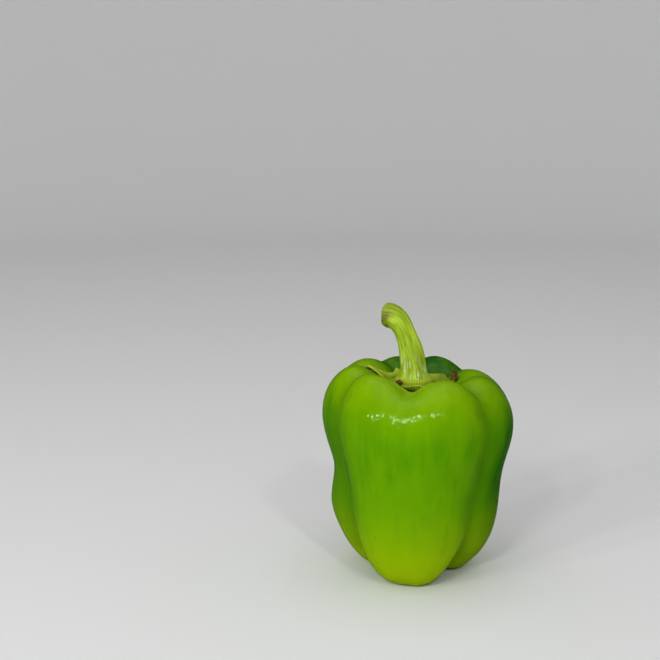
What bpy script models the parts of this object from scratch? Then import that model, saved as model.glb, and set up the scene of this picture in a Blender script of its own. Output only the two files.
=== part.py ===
"""A green bell pepper as it stands on a table: a four-lobed fruit, its calyx and its cut stem.

The origin is on the table under the middle of the pepper, +Z is up, and the broad front lobe faces -Y.
Every solid is shaped by a formula: a few stations from one pole to the other, and what each azimuth
does to them. Azimuths are in degrees, anticlockwise from +X when seen from above, so -90 is the front.
"""
import functools
import math

import bmesh
import bpy
import numpy as np

MM = 0.001

# Driving dimensions of the whole pepper
FRUIT_WIDTH = 84 * MM        # across the lobes, before each one's own reach is added
FRUIT_HEIGHT = 98 * MM       # up to the shoulders, before the furrows on them take 3 mm away
STEM_THICKNESS = 9.4 * MM    # at the neck, halfway up
AXIS = (-0.49 * MM, 0.65 * MM)  # where the fruit's own axis stands, so that the origin is mid-box

# How finely each solid is faceted
FRUIT_SEGMENTS, FRUIT_RINGS = 96, 46
CALYX_SEGMENTS, CALYX_RINGS = 90, 24
STEM_SIDES, STEM_RINGS = 40, 34
GAP = 0.3 * MM               # air kept between two pieces that touch
NEXT_TO_AXIS = 1e-6          # a vertex of the unit ball this near the axis is one of its poles

# Plain finishes: base colour, linear, and roughness
WAXY_GREEN = (0.11, 0.30, 0.01), 0.30
DULL_GREEN = (0.30, 0.42, 0.05), 0.55
PALE_GREEN = (0.36, 0.50, 0.05), 0.45

# Stations of the fruit, from the blossom scar underneath to the seat of the stem on top.
# radius and height are shares of the half width and of the height. inward and rise say what a full
# furrow does there, in metres. zone is 0 at the feet, 1 on the wall, 2 on the shoulder and 3 at the crown.
FRUIT_STATIONS = (
    # radius, height,  inward,     rise,      zone
    (0.000, 0.100, 0.0 * MM, 0.0 * MM, 0.0),
    (0.150, 0.082, 0.0 * MM, 1.0 * MM, 0.0),
    (0.330, 0.005, 1.5 * MM, 5.0 * MM, 0.0),
    (0.500, -0.038, 3.5 * MM, 9.5 * MM, 0.0),
    (0.710, -0.006, 7.0 * MM, 8.0 * MM, 0.0),
    (0.853, 0.110, 8.0 * MM, 3.0 * MM, 0.5),
    (0.922, 0.320, 6.8 * MM, 0.0 * MM, 0.9),
    (0.944, 0.520, 5.0 * MM, 0.0 * MM, 1.1),
    (1.035, 0.730, 4.2 * MM, -0.3 * MM, 1.6),
    (0.950, 0.900, 4.4 * MM, -2.6 * MM, 2.3),
    (0.690, 1.000, 2.6 * MM, -6.5 * MM, 3.0),
    (0.430, 0.940, 0.6 * MM, -3.3 * MM, 3.0),
    (0.230, 0.875, 0.0 * MM, -0.4 * MM, 3.0),
    (0.000, 0.865, 0.0 * MM, 0.0 * MM, 3.0),
)

# Lobes: azimuth, height of the foot, height added to the shoulder, and the reach added at feet, wall,
# shoulder and crown
LOBES = {
    "front": (-100, -0.4 * MM, 0.0 * MM, (-2.6 * MM, 0.5 * MM, 0.2 * MM, 0.0 * MM)),
    "right": (8, -0.3 * MM, -4.4 * MM, (-6.0 * MM, 2.1 * MM, 0.8 * MM, -0.4 * MM)),
    "back": (92, 0.6 * MM, 0.6 * MM, (0.0 * MM, 0.0 * MM, 0.0 * MM, 0.0 * MM)),
    "left": (156, -0.8 * MM, 0.2 * MM, (-3.2 * MM, 0.3 * MM, 0.2 * MM, 0.0 * MM)),
}
LOBE_BLEND = 3.2             # how sharply one lobe's heights give way to the next

# Furrows between lobes, then the shallow ones down the middle of a lobe. Each row gives the azimuth,
# the strength and the half width in degrees, all three at feet, wall, shoulder and crown, and then how
# round the bottom of the furrow is, as a share of its half width.
FURROWS = {
    "front_right": ((-40, -42, -39, -37), (1.50, 1.00, 1.00, 0.95), (20, 20, 17, 14), 0.22),
    "right_back": ((54, 47, 46, 46), (1.00, 0.90, 0.95, 1.00), (20, 20, 20, 20), 0.22),
    "back_left": ((108, 118, 122, 126), (1.00, 1.00, 0.95, 0.90), (20, 20, 20, 20), 0.22),
    "left_front": ((-157, -152, -151, -153), (1.70, 1.00, 0.95, 0.70), (19, 20, 16, 12), 0.22),
    "front_middle": ((-101, -98, -97, -97), (0.18, 0.00, 0.60, 1.45), (18, 18, 17, 15), 0.70),
    "left_middle": ((160, 164, 166, 168), (0.10, 0.10, 0.35, 0.70), (12, 12, 12, 12), 0.50),
    "back_middle": ((84, 87, 89, 91), (0.10, 0.12, 0.40, 0.80), (12, 12, 12, 12), 0.50),
    "right_middle": ((-2, 2, 3, 4), (0.05, 0.10, 0.20, 0.35), (12, 12, 12, 12), 0.50),
}

# Knobs and dents of a grown skin: azimuth, height, how far out, half width in degrees, half height
SWELLINGS = (
    (176, 30 * MM, 2.4 * MM, 26, 11 * MM),
    (180, 49 * MM, -1.0 * MM, 26, 9 * MM),
    (-2, 44 * MM, -0.3 * MM, 24, 9 * MM),
    (-78, 57 * MM, 0.5 * MM, 22, 20 * MM),
)
UNEVENNESS = 0.25 * MM       # slow waves all over the skin
WAVES_ROUND = (2, 3)         # how many of them fit round the fruit
WAVES_UP = (5, 7)            # how fast they drift round on the way up, in radians over the height
SHOULDER_SHARE = 0.7         # how much of a lobe's added shoulder height its outer shoulder gets
SEAT_SEARCH = 0.84           # share of a meridian past which the skin falls from the shoulder to the seat
SEAT_SAMPLES = 60            # places along that share at which the skin's height is taken

# The calyx: a thin collar with pointed tips, lying in the dip between the shoulders
CALYX_CENTRE = (-1.4 * MM, 0.5 * MM)
CALYX_RADIUS = 10.2 * MM     # to the rim between two tips
CALYX_RIM = 1.0 * MM         # thickness near the rim
CALYX_TOP = 88.1 * MM        # height of the flat top that the stem stands on
CALYX_SEAT = 8.3 * MM        # radius of that flat top
CALYX_CROWDING = 0.8         # below 1, the rings of the ball crowd towards the rim
CALYX_EDGE = 0.5             # thickness at the very rim, as a share of the thickness near it
CALYX_THICKENING = 2.2       # how fast the collar reaches its full thickness inside the rim
CALYX_FALL = 0.5             # share of the way from the seat to the rim over which the top comes down
# Tips: azimuth, length past the rim, half width in degrees, how far the rim is lifted off the fruit
# there, and how far the very end curls up
CALYX_TIPS = (
    (-134, 1.2 * MM, 10, 0.8 * MM, 0.5 * MM),
    (-80, 0.3 * MM, 34, 2.0 * MM, 0.0 * MM),
    (-20, 1.6 * MM, 11, 0.7 * MM, 0.1 * MM),
    (12, 7.6 * MM, 17, 0.3 * MM, 0.4 * MM),
    (42, 6.6 * MM, 20, 0.3 * MM, 0.0 * MM),
    (84, 3.4 * MM, 13, 0.3 * MM, 0.4 * MM),
    (122, 4.2 * MM, 14, 0.3 * MM, 0.8 * MM),
    (169, 10.9 * MM, 14, 0.3 * MM, 0.2 * MM),
)
TIP_ROUNDING = 0.16          # how blunt a tip is, as a share of its half width
CURL_WIDTH = 0.5             # how wide the curled end is, as a share of the tip's half width

# The stem: centreline points from the calyx to the cut end, with the radius there
STEM_LINE = (
    # x,        y,        z,         radius as a share of half the neck's thickness
    (-1.4 * MM, 0.5 * MM, 88.4 * MM, 1.62),
    (-1.6 * MM, 0.5 * MM, 91.5 * MM, 1.32),
    (-2.1 * MM, 0.6 * MM, 97.3 * MM, 1.18),
    (-3.1 * MM, 0.9 * MM, 103.3 * MM, 1.08),
    (-5.4 * MM, 1.4 * MM, 109.7 * MM, 0.96),
    (-8.2 * MM, 2.0 * MM, 114.5 * MM, 1.04),
    (-11.5 * MM, 2.8 * MM, 116.6 * MM, 1.15),
    (-14.8 * MM, 3.9 * MM, 116.9 * MM, 1.14),
)
STEM_RIBS = 5
STEM_RIB_DEPTH = 0.055       # as a share of the stem's radius
STEM_TWIST = 50              # how far the ribs turn round the stem on the way up, in degrees
STEM_EDGES = (0.7 * MM, 2.0 * MM)   # lengths over which the base and the cut end are rounded
EDGE_POWER = 0.4             # how square those roundings are: 1 is a quarter circle, 0 a sharp corner
STEM_SQUARE = 0.12           # share of the length over which the stem rises straight up off the calyx
CAP_SHARE = 0.2              # share of a stem meridian spent on each end
HEADING_STEP = 0.001         # share of the length over which the stem's heading is taken


def spline(knots, values, at):
    """Values at the places asked for, on the smooth (C2) curve through values at the knots."""
    knots, values, at = np.asarray(knots), np.asarray(values), np.asarray(at)
    step = np.diff(knots)
    count = len(knots)
    matrix = np.eye(count)
    right = np.zeros(values.shape)
    slope = np.diff(values, axis=0) / step.reshape(-1, *[1] * (values.ndim - 1))
    for i in range(1, count - 1):
        matrix[i, i - 1:i + 2] = step[i - 1], 2 * (step[i - 1] + step[i]), step[i]
        right[i] = 6 * (slope[i] - slope[i - 1])
    bend = np.linalg.solve(matrix, right.reshape(count, -1)).reshape(values.shape)
    cell = np.clip(np.searchsorted(knots, at) - 1, 0, count - 2)
    h = step[cell]
    a, b = (knots[cell + 1] - at) / h, (at - knots[cell]) / h
    shape = (-1, *[1] * (values.ndim - 1))
    a, b, h = a.reshape(shape), b.reshape(shape), h.reshape(shape)
    straight = a * values[cell] + b * values[cell + 1]
    return straight + ((a**3 - a) * bend[cell] + (b**3 - b) * bend[cell + 1]) * h**2 / 6


def turn_between(azimuth, centre):
    """The signed angle from centre to azimuth, in degrees, from -180 to 180."""
    return (azimuth - centre + 180) % 360 - 180


def furrow_shape(x, rounding):
    """1 in the bottom of a furrow, falling off on both sides so that the lobes beside it stay convex.

    x is the distance from the bottom in half widths.
    """
    return math.exp(rounding - math.hypot(x, rounding))


def along_zones(zone, four):
    return np.interp(zone, (0, 1, 2, 3), four)


def fruit_meridian(azimuth):
    """The stations of the fruit at one azimuth, as rows of radius and height."""
    radius, height, inward, rise, zone = (np.array(c, float) for c in zip(*FRUIT_STATIONS))
    full_radius = radius.copy()
    radius = radius * FRUIT_WIDTH / 2
    height = height * FRUIT_HEIGHT
    weights = {
        name: math.exp(LOBE_BLEND * math.cos(math.radians(turn_between(azimuth, lobe[0]))))
        for name, lobe in LOBES.items()
    }
    total = sum(weights.values())
    for name, (_, foot, shoulder, reach) in LOBES.items():
        share = weights[name] / total
        height = height + share * foot * along_zones(zone, (1, 0, 0, 0))
        height = height + share * shoulder * along_zones(zone, (0, 0, SHOULDER_SHARE, 1))
        radius = radius + share * full_radius * along_zones(zone, reach)
    for places, strengths, half_widths, rounding in FURROWS.values():
        for i, z in enumerate(zone):
            offset = turn_between(azimuth, along_zones(z, places)) / along_zones(z, half_widths)
            depth = along_zones(z, strengths) * furrow_shape(offset, rounding)
            radius[i] -= depth * inward[i]
            height[i] += depth * rise[i]
    return np.stack([radius, height], axis=1)


def fruit_knots():
    """Where each station stands along the meridian, from 0 at the scar to 1 at the seat."""
    radius, height, *_ = (np.array(c, float) for c in zip(*FRUIT_STATIONS))
    outline = np.stack([radius * FRUIT_WIDTH / 2, height * FRUIT_HEIGHT], axis=1)
    length = np.concatenate([[0], np.cumsum(np.linalg.norm(np.diff(outline, axis=0), axis=1))])
    return length / length[-1]


def fruit_curve(azimuth, at):
    """Points of radius and height on the fruit's skin, at shares 0 to 1 of the way along the meridian.

    The stations next to each pole are mirrored across the axis, so the skin is smooth over the pole.
    """
    knots, stations = fruit_knots(), fruit_meridian(azimuth)
    flip = np.array([-1, 1])
    knots = np.concatenate([[-knots[2], -knots[1]], knots, [2 - knots[-2], 2 - knots[-3]]])
    stations = np.concatenate([
        stations[2:0:-1] * flip, stations, stations[-2:-4:-1] * flip])
    points = spline(knots, stations, at)
    radius, height = points[:, 0], points[:, 1]
    turn, climb = math.radians(azimuth), height / FRUIT_HEIGHT
    wave = np.sin(WAVES_ROUND[0] * turn + WAVES_UP[0] * climb)
    other_wave = np.cos(WAVES_ROUND[1] * turn - WAVES_UP[1] * climb)
    out_by = UNEVENNESS * wave * other_wave
    for centre, level, out, half_width, half_height in SWELLINGS:
        offset = turn_between(azimuth, centre) / half_width
        out_by = out_by + out * np.exp(-offset**2 - ((height - level) / half_height)**2)
    radius = radius + out_by * radius / (FRUIT_WIDTH / 2)
    return np.stack([radius, np.maximum(height, 0.0)], axis=1)


@functools.lru_cache(maxsize=None)
def seat_profile(azimuth):
    """Radius and height of the skin between the seat and the top of the shoulder, nearest the axis first."""
    points = fruit_curve(azimuth, np.linspace(1, SEAT_SEARCH, SEAT_SAMPLES))
    return points[:, 0], points[:, 1]


def seat_height(x, y):
    """Height of the fruit's skin in the dip between the shoulders, over the point (x, y)."""
    azimuth, reach = math.degrees(math.atan2(y, x)), math.hypot(x, y)
    low = math.floor(azimuth)
    first, second = (np.interp(reach, *seat_profile(a)) for a in (low, low + 1))
    return float(first + (second - first) * (azimuth - low))


def new_object(name, mesh_builder, finish):
    """One named object with its own material, from a function that fills a bmesh."""
    work = bmesh.new()
    mesh_builder(work)
    bmesh.ops.translate(work, vec=(*AXIS, 0), verts=work.verts)
    bmesh.ops.recalc_face_normals(work, faces=work.faces)
    mesh = bpy.data.meshes.new(name)
    work.to_mesh(mesh)
    work.free()
    mesh.shade_smooth()
    material = bpy.data.materials.new(name + "_finish")
    material.use_nodes = True
    shader = material.node_tree.nodes["Principled BSDF"]
    colour, roughness = finish
    shader.inputs["Base Color"].default_value = (*colour, 1)
    shader.inputs["Roughness"].default_value = roughness
    shader.inputs["Metallic"].default_value = 0
    mesh.materials.append(material)
    made = bpy.data.objects.new(name, mesh)
    bpy.context.scene.collection.objects.link(made)
    return made


def ball_latitudes(work, segments, rings):
    """Makes a ball and groups its vertices by azimuth: a list of (azimuth, [(share, vertex), ...]).

    share is 0 at the bottom pole and 1 at the top pole. The poles come on their own, with azimuth None.
    """
    bmesh.ops.create_uvsphere(work, u_segments=segments, v_segments=rings, radius=1)
    columns = {}
    for vertex in work.verts:
        share = 1 - math.acos(max(-1, min(1, vertex.co.z))) / math.pi
        at_pole = math.hypot(vertex.co.x, vertex.co.y) < NEXT_TO_AXIS
        azimuth = None if at_pole else round(math.degrees(math.atan2(vertex.co.y, vertex.co.x)), 3)
        columns.setdefault(azimuth, []).append((share, vertex))
    return columns


def shape_fruit(work):
    """The fruit: a ball whose every meridian is bent to the fruit's own outline at that azimuth."""
    for azimuth, column in ball_latitudes(work, FRUIT_SEGMENTS, FRUIT_RINGS).items():
        turn = math.radians(azimuth or 0)
        points = fruit_curve(azimuth or 0, np.array([share for share, _ in column]))
        for (radius, height), (_, vertex) in zip(points, column):
            vertex.co = radius * math.cos(turn), radius * math.sin(turn), height


def ease(x):
    """0 below 0, 1 above 1, and a smooth step between."""
    x = min(max(x, 0.0), 1.0)
    return x * x * (3 - 2 * x)


def calyx_rim(azimuth):
    """Radius of the rim at one azimuth, its lift off the fruit and the curl of its very edge."""
    radius, lift, curl = CALYX_RADIUS, 0.0, 0.0
    for centre, length, half_width, up, curled in CALYX_TIPS:
        x = turn_between(azimuth, centre) / half_width
        radius += length * furrow_shape(x, TIP_ROUNDING)
        lift += up * math.exp(-x * x)
        curl += curled * math.exp(-(x / CURL_WIDTH)**2)
    return radius, lift, curl


def calyx_point(azimuth, share):
    """A point of the calyx: share 0 is the middle of its underside, 0.5 the rim, 1 the middle of its top."""
    rim, lift, curl = calyx_rim(azimuth)
    reach = rim * math.sin(math.pi * share)**CALYX_CROWDING
    inside = abs(math.cos(math.pi * share))
    turn = math.radians(azimuth)
    x = CALYX_CENTRE[0] + reach * math.cos(turn)
    y = CALYX_CENTRE[1] + reach * math.sin(turn)
    outer = ease((reach - CALYX_SEAT) / (rim - CALYX_SEAT))
    under = seat_height(x, y) + GAP + lift * outer + curl * outer**3
    if share <= 0.5:
        return x, y, under + CALYX_RIM * CALYX_EDGE * (1 - inside)**3
    top = under + CALYX_RIM * (CALYX_EDGE + (1 - CALYX_EDGE) * min(1.0, CALYX_THICKENING * inside))
    rising = 1 - ease((reach - CALYX_SEAT) / (CALYX_FALL * (rim - CALYX_SEAT)))
    return x, y, top + (CALYX_TOP - top) * rising


def shape_calyx(work):
    """The calyx: a ball pressed flat on the fruit's skin and drawn out to a tip at each sepal."""
    for azimuth, column in ball_latitudes(work, CALYX_SEGMENTS, CALYX_RINGS).items():
        for share, vertex in column:
            vertex.co = calyx_point(azimuth or 0, share)


def stem_station(share):
    """One latitude of the stem: its share of the centreline's length, its middle, its heading, its radius.

    Both ends are rounded off over STEM_EDGES, as a superellipse.
    """
    line = np.array(STEM_LINE)
    steps = np.linalg.norm(np.diff(line[:, :3], axis=0), axis=1)
    length = float(steps.sum())
    knots = np.concatenate([[0], np.cumsum(steps)]) / length
    base, end = (edge / length for edge in STEM_EDGES)
    corner = math.radians(90 * min(1.0, share / CAP_SHARE, (1 - share) / CAP_SHARE))
    rounded = 1 - max(0.0, math.cos(corner))**EDGE_POWER
    if share < CAP_SHARE:
        along = base * rounded
    elif share > 1 - CAP_SHARE:
        along = 1 - end * rounded
    else:
        along = base + (share - CAP_SHARE) / (1 - 2 * CAP_SHARE) * (1 - base - end)
    wide = float(spline(knots, line[:, 3], [along])[0]) * STEM_THICKNESS / 2
    behind, middle, before = spline(knots, line[:, :3], [along - HEADING_STEP, along, along + HEADING_STEP])
    ahead = (before - behind) / np.linalg.norm(before - behind)
    square = ease(1 - along / STEM_SQUARE)
    ahead = ahead * (1 - square) + np.array((0, 0, 1)) * square
    return along, middle, ahead / np.linalg.norm(ahead), wide * max(0.0, math.sin(corner))**EDGE_POWER


def shape_stem(work):
    """The stem: a ribbed tube round a bent line, wide where it meets the calyx and cut off square."""
    columns = ball_latitudes(work, STEM_SIDES, STEM_RINGS)
    stations = {}
    for azimuth, column in columns.items():
        for share, vertex in column:
            if share not in stations:
                stations[share] = stem_station(share)
            along, middle, ahead, radius = stations[share]
            first = np.cross((0, 1, 0), ahead)
            first /= np.linalg.norm(first)
            second = np.cross(ahead, first)
            turn = math.radians(azimuth or 0)
            rib = STEM_RIB_DEPTH * math.cos(STEM_RIBS * (turn + math.radians(STEM_TWIST) * along))
            spread = radius * (1 + rib) * (first * math.cos(turn) + second * math.sin(turn))
            vertex.co = middle + spread


def main():
    for old in list(bpy.data.objects):
        bpy.data.objects.remove(old)
    new_object("fruit", shape_fruit, WAXY_GREEN)
    new_object("calyx", shape_calyx, DULL_GREEN)
    new_object("stem", shape_stem, PALE_GREEN)


main()
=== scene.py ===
# %% [markdown]
# A green bell pepper, dressed
#
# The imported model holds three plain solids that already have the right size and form: the fruit, the
# calyx (the collar of grown-together sepals) and the stem. They could be coloured as they are, but their
# skins are coarse. So this script makes each of them again with a fine mesh and a living surface, and sets
# up a small studio. Nothing here moves or resizes the pepper.

import functools
import math

import bmesh
import bpy
import numpy as np
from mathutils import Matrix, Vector, noise


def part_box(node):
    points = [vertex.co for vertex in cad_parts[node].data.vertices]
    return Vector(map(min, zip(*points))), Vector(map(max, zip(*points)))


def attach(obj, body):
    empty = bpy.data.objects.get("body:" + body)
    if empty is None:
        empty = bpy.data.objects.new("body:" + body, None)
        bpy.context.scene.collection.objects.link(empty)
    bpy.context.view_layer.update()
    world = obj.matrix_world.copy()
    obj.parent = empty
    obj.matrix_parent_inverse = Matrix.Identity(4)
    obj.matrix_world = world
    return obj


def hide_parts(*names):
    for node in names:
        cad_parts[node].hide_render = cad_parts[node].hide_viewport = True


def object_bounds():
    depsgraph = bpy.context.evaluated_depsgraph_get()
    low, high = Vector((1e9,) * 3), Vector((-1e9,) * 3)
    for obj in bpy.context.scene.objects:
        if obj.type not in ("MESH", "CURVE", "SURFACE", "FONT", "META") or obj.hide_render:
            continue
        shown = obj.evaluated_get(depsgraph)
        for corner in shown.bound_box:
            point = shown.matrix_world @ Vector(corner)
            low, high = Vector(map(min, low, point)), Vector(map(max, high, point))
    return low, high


MM = 0.001


def in_mm(point):
    """A point in tenths of a millimetre, to print."""
    return [round(c / MM, 1) for c in point]


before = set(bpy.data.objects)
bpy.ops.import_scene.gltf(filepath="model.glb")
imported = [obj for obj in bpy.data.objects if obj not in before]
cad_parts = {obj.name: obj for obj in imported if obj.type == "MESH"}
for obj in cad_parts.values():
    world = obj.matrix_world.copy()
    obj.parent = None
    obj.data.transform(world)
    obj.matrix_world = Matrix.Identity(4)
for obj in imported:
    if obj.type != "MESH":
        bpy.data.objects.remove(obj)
cad_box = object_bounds()
for node_name in ("fruit", "calyx", "stem"):
    low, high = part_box(node_name)
    print(node_name, "from", in_mm(low), "to", in_mm(high), "mm")

# %% [markdown]
# Driving dimensions
#
# A large bell pepper is about 84 mm across its lobes. Every size below could be typed in by itself, but a
# few that drive the others keep the proportions together. Azimuths are in degrees, anticlockwise from +X
# seen from above, so the broad front lobe is near -90. The fruit's own axis stands half a millimetre off
# the origin, because the origin is in the middle of the whole pepper's box.

# %% Driving dimensions
FRUIT_WIDTH = 84 * MM        # across the lobes, before each one's own reach is added
FRUIT_HEIGHT = 98 * MM       # up to the shoulders, before the furrows on them take 3 mm away
STEM_THICKNESS = 9.4 * MM    # at the neck, halfway up
AXIS = Vector((-0.49 * MM, 0.65 * MM, 0))
print("the packed pepper measures", in_mm(high - low for low, high in zip(*cad_box)), "mm")

# %% [markdown]
# One smooth curve for everything that grew
#
# Grown things have no corners along their length, so every outline here is a natural cubic spline: it
# passes through a few stations and bends as little as it can between them. A Bezier curve would do too,
# but a spline through stations lets each station be a real, measurable place on the fruit.

# %% A smooth curve through stations
def spline(knots, values, at):
    """Values at the places asked for, on the smooth (C2) curve through values at the knots."""
    knots, values, at = np.asarray(knots), np.asarray(values), np.asarray(at)
    step = np.diff(knots)
    count = len(knots)
    matrix = np.eye(count)
    right = np.zeros(values.shape)
    slope = np.diff(values, axis=0) / step.reshape(-1, *[1] * (values.ndim - 1))
    for i in range(1, count - 1):
        matrix[i, i - 1:i + 2] = step[i - 1], 2 * (step[i - 1] + step[i]), step[i]
        right[i] = 6 * (slope[i] - slope[i - 1])
    bend = np.linalg.solve(matrix, right.reshape(count, -1)).reshape(values.shape)
    cell = np.clip(np.searchsorted(knots, at) - 1, 0, count - 2)
    h = step[cell]
    a, b = (knots[cell + 1] - at) / h, (at - knots[cell]) / h
    shape = (-1, *[1] * (values.ndim - 1))
    a, b, h = a.reshape(shape), b.reshape(shape), h.reshape(shape)
    straight = a * values[cell] + b * values[cell + 1]
    return straight + ((a**3 - a) * bend[cell] + (b**3 - b) * bend[cell + 1]) * h**2 / 6


print("through 0, 2 and 1 the curve swings by", spline([0, 1, 2], [0.0, 2.0, 1.0], [0.5, 1.5]).tolist())

# %% [markdown]
# Angles, soft steps and soft peaks
#
# A lobe fades into the next and a vein into its sepal, and nowhere does one start with an edge. Straight
# ramps would leave creases that a glossy skin shows at once. So every change below is an ease, level at
# both ends, or a soft peak, which falls off to both sides like a tent with a rounded ridge.

# %% Angles, soft steps and soft peaks
def turn_between(azimuth, centre):
    """The signed angle from centre to azimuth, in degrees, from -180 to 180."""
    return (azimuth - centre + 180) % 360 - 180


def direction(azimuth):
    """The level unit vector at an azimuth in degrees."""
    turn = math.radians(azimuth)
    return Vector((math.cos(turn), math.sin(turn), 0))


def ease(x):
    """0 below 0, 1 above 1, and a smooth step between."""
    x = min(max(x, 0.0), 1.0)
    return x * x * (3 - 2 * x)


def soft_peak(x, rounding):
    """1 in the middle, falling off so that what lies beside it stays convex."""
    return np.exp(rounding - np.hypot(x, rounding))


print("a soft peak falls to", round(float(soft_peak(1.0, 0.22)), 2), "at its half width")

# %% [markdown]
# The fruit's stations
#
# Cut through its axis, a pepper shows two feet, a wall that is widest near the shoulder, and a dip that
# holds the calyx. One turned profile would give a tomato, because a furrow pulls some places in much more
# than others. So each station on the outline also says how far a full furrow pulls it in and lifts it.

# %% Stations from the feet to the crown
# radius and height are shares of the half width and of the height. zone is 0 at the feet, 1 on the wall,
# 2 on the shoulder and 3 at the crown.
FRUIT_STATIONS = (
    # radius, height,  inward,     rise,      zone
    (0.000, 0.100, 0.0 * MM, 0.0 * MM, 0.0),
    (0.150, 0.082, 0.0 * MM, 1.0 * MM, 0.0),
    (0.330, 0.005, 1.5 * MM, 5.0 * MM, 0.0),
    (0.500, -0.038, 3.5 * MM, 9.5 * MM, 0.0),
    (0.710, -0.006, 7.0 * MM, 8.0 * MM, 0.0),
    (0.853, 0.110, 8.0 * MM, 3.0 * MM, 0.5),
    (0.922, 0.320, 6.8 * MM, 0.0 * MM, 0.9),
    (0.944, 0.520, 5.0 * MM, 0.0 * MM, 1.1),
    (1.035, 0.730, 4.2 * MM, -0.3 * MM, 1.6),
    (0.950, 0.900, 4.4 * MM, -2.6 * MM, 2.3),
    (0.690, 1.000, 2.6 * MM, -6.5 * MM, 3.0),
    (0.430, 0.940, 0.6 * MM, -3.3 * MM, 3.0),
    (0.230, 0.875, 0.0 * MM, -0.4 * MM, 3.0),
    (0.000, 0.865, 0.0 * MM, 0.0 * MM, 3.0),
)
RADII, HEIGHTS, INWARD, RISE, ZONES = (np.array(column) for column in zip(*FRUIT_STATIONS))


def along_zones(zone, four):
    """What four values, given for feet, wall, shoulder and crown, come to at each zone."""
    return np.interp(zone, (0, 1, 2, 3), four)


def shares_of_length(points):
    """How far along a chain of points each one lies, from 0 to 1."""
    length = np.concatenate([[0], np.cumsum(np.linalg.norm(np.diff(points, axis=0), axis=1))])
    return length / length[-1]


FRUIT_KNOTS = shares_of_length(np.stack([RADII * FRUIT_WIDTH / 2, HEIGHTS * FRUIT_HEIGHT], axis=1))
print("the shoulder is", round(float(FRUIT_KNOTS[ZONES == 2.3][0]), 2), "of the way from scar to crown")

# %% [markdown]
# Four unequal lobes
#
# The fruit grew in chambers, mostly four, and each chamber bulges out as a lobe with its own height and
# reach. They could be four bodies joined together, which leaves seams. Here every azimuth listens to all
# four instead, most of all to the lobe it lies on, so one skin runs smoothly from each into the next.

# %% Lobes
# azimuth, height of the foot, height added to the shoulder, reach added at feet, wall, shoulder and crown
LOBES = {
    "front": (-100, -0.4 * MM, 0.0 * MM, (-2.6 * MM, 0.5 * MM, 0.2 * MM, 0.0 * MM)),
    "right": (8, -0.3 * MM, -4.4 * MM, (-6.0 * MM, 2.1 * MM, 0.8 * MM, -0.4 * MM)),
    "back": (92, 0.6 * MM, 0.6 * MM, (0.0 * MM, 0.0 * MM, 0.0 * MM, 0.0 * MM)),
    "left": (156, -0.8 * MM, 0.2 * MM, (-3.2 * MM, 0.3 * MM, 0.2 * MM, 0.0 * MM)),
}
LOBE_BLEND = 3.2             # the larger, the sooner one lobe takes over from the next
FOOT_SHARE = (1, 0, 0, 0)    # how much of a foot's height counts at feet, wall, shoulder and crown
SHOULDER_SHARE = (0, 0, 0.7, 1)


def lobe_shares(azimuth):
    """How much each lobe has to say at an azimuth. The shares add up to 1."""
    weights = {}
    for name, (centre, *_) in LOBES.items():
        weights[name] = math.exp(LOBE_BLEND * math.cos(math.radians(turn_between(azimuth, centre))))
    total = sum(weights.values())
    return {name: weight / total for name, weight in weights.items()}


print("at -45 degrees:", {name: round(share, 2) for name, share in lobe_shares(-45).items()})

# %% [markdown]
# Furrows
#
# Between two chambers a wall inside the fruit holds the skin back, which makes a furrow from the feet over
# the shoulder into the dip. Shallower ones run down the middle of a lobe. They could be carved out with
# another body, but a furrow has no edges: it is a soft peak that pulls the stations in and wanders a few
# degrees on its way up.

# %% Furrows
# azimuth, strength and half width in degrees, each at feet, wall, shoulder and crown, then how round the
# bottom of the furrow is
FURROWS = {
    "front_right": ((-40, -42, -39, -37), (1.50, 1.00, 1.00, 0.95), (20, 20, 17, 14), 0.22),
    "right_back": ((54, 47, 46, 46), (1.00, 0.90, 0.95, 1.00), (20, 20, 20, 20), 0.22),
    "back_left": ((108, 118, 122, 126), (1.00, 1.00, 0.95, 0.90), (20, 20, 20, 20), 0.22),
    "left_front": ((-157, -152, -151, -153), (1.70, 1.00, 0.95, 0.70), (19, 20, 16, 12), 0.22),
}
MIDDLE_FURROWS = {
    "front_middle": ((-101, -98, -97, -97), (0.18, 0.00, 0.60, 1.45), (18, 18, 17, 15), 0.70),
    "left_middle": ((160, 164, 166, 168), (0.10, 0.10, 0.35, 0.70), (12, 12, 12, 12), 0.50),
    "back_middle": ((84, 87, 89, 91), (0.10, 0.12, 0.40, 0.80), (12, 12, 12, 12), 0.50),
    "right_middle": ((-2, 2, 3, 4), (0.05, 0.10, 0.20, 0.35), (12, 12, 12, 12), 0.50),
}


def furrow_depth(furrow, azimuth, zone, narrowing=1):
    """How deep in a furrow each zone of a meridian lies: 1 is a full furrow in its bottom."""
    places, strengths, half_widths, rounding = furrow
    offset = turn_between(azimuth, along_zones(zone, places)) / along_zones(zone, half_widths)
    return along_zones(zone, strengths) * soft_peak(narrowing * offset, rounding)


def fruit_meridian(azimuth):
    """The stations of the fruit at one azimuth, as rows of radius and height."""
    radius, height = RADII * FRUIT_WIDTH / 2, HEIGHTS * FRUIT_HEIGHT
    for name, share in lobe_shares(azimuth).items():
        _, foot, shoulder, reach = LOBES[name]
        height = height + share * foot * along_zones(ZONES, FOOT_SHARE)
        height = height + share * shoulder * along_zones(ZONES, SHOULDER_SHARE)
        radius = radius + share * RADII * along_zones(ZONES, reach)
    for furrow in (*FURROWS.values(), *MIDDLE_FURROWS.values()):
        depth = furrow_depth(furrow, azimuth, ZONES)
        radius = radius - depth * INWARD
        height = height + depth * RISE
    return np.stack([radius, height], axis=1)


lobe, furrow = (round(fruit_meridian(azimuth)[:, 0].max() / MM, 1) for azimuth in (-100, -41))
print("the largest radius is", lobe, "mm on the front lobe and", furrow, "mm in the furrow beside it")

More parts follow.
